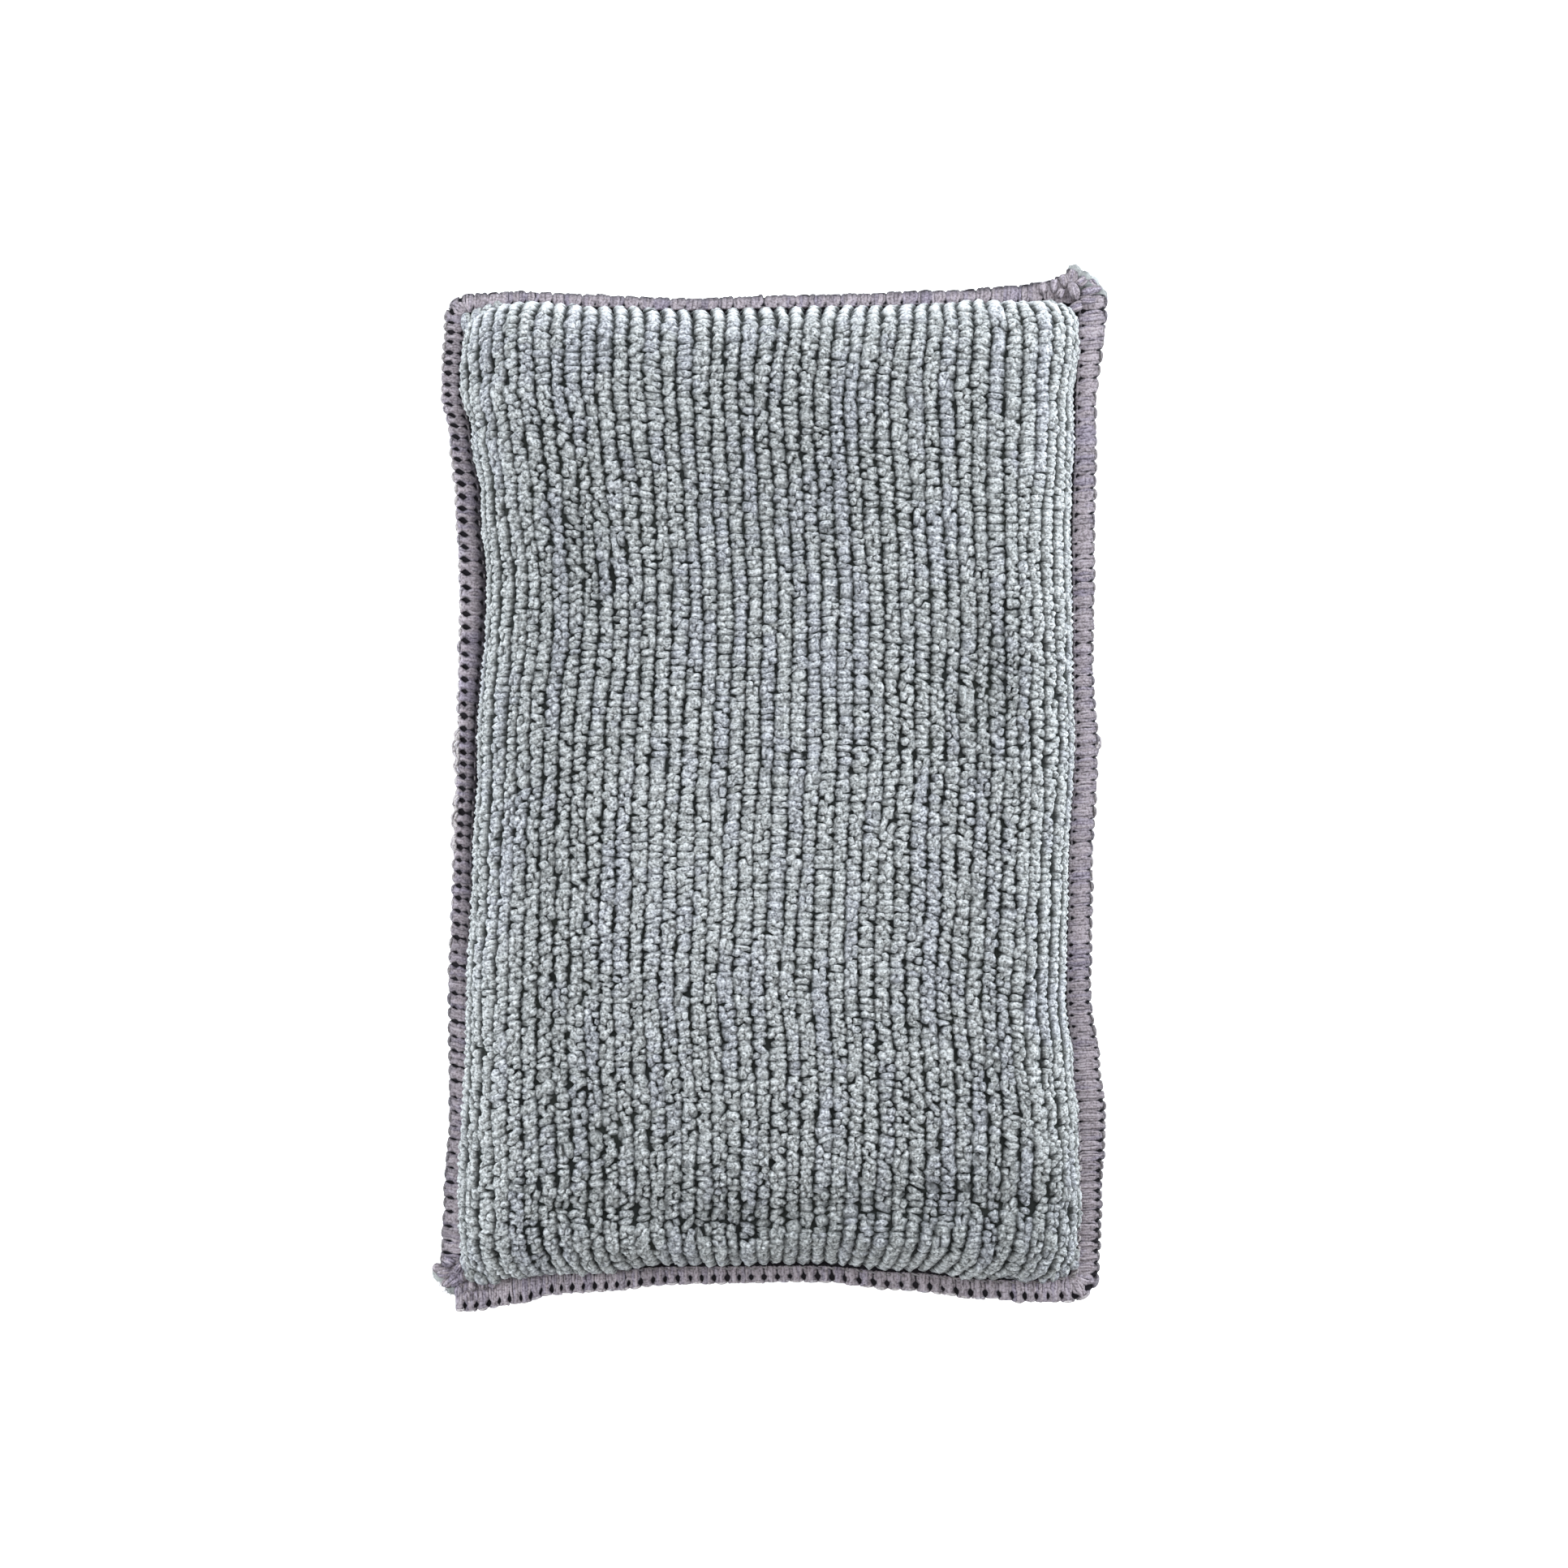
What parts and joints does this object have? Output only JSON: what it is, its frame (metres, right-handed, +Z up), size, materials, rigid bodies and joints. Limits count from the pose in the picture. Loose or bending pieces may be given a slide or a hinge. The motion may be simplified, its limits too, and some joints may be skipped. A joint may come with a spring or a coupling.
{
  "type": "microfibre scrub pad",
  "caption": "Soft oblong cleaning pad of ribbed grey microfibre over a light filling, overlocked round its edge, lying on its back.",
  "frame": {"origin": "bottom centre of the bounding box, on the surface that the pad lies on", "axes": "+X across the width, +Y along the length, +Z up out of the front face"},
  "size_m": [0.1018, 0.1582, 0.02],
  "materials": {
    "microfibre_cloth": "light cool grey loop pile in ribs, soft and matt with a faint sheen at the rim",
    "overlock_thread": "mauve grey textured thread, matt",
    "cut_cloth": "pale greenish grey cut cloth and frayed thread ends, matt"
  },
  "bodies": {
    "root": {"pad_body": "microfibre_cloth", "overlock_left_top": "overlock_thread", "overlock_bottom_right": "overlock_thread", "corner_tuft_top_right": "cut_cloth", "corner_tuft_bottom_left": "cut_cloth"}
  },
  "joints": []
}
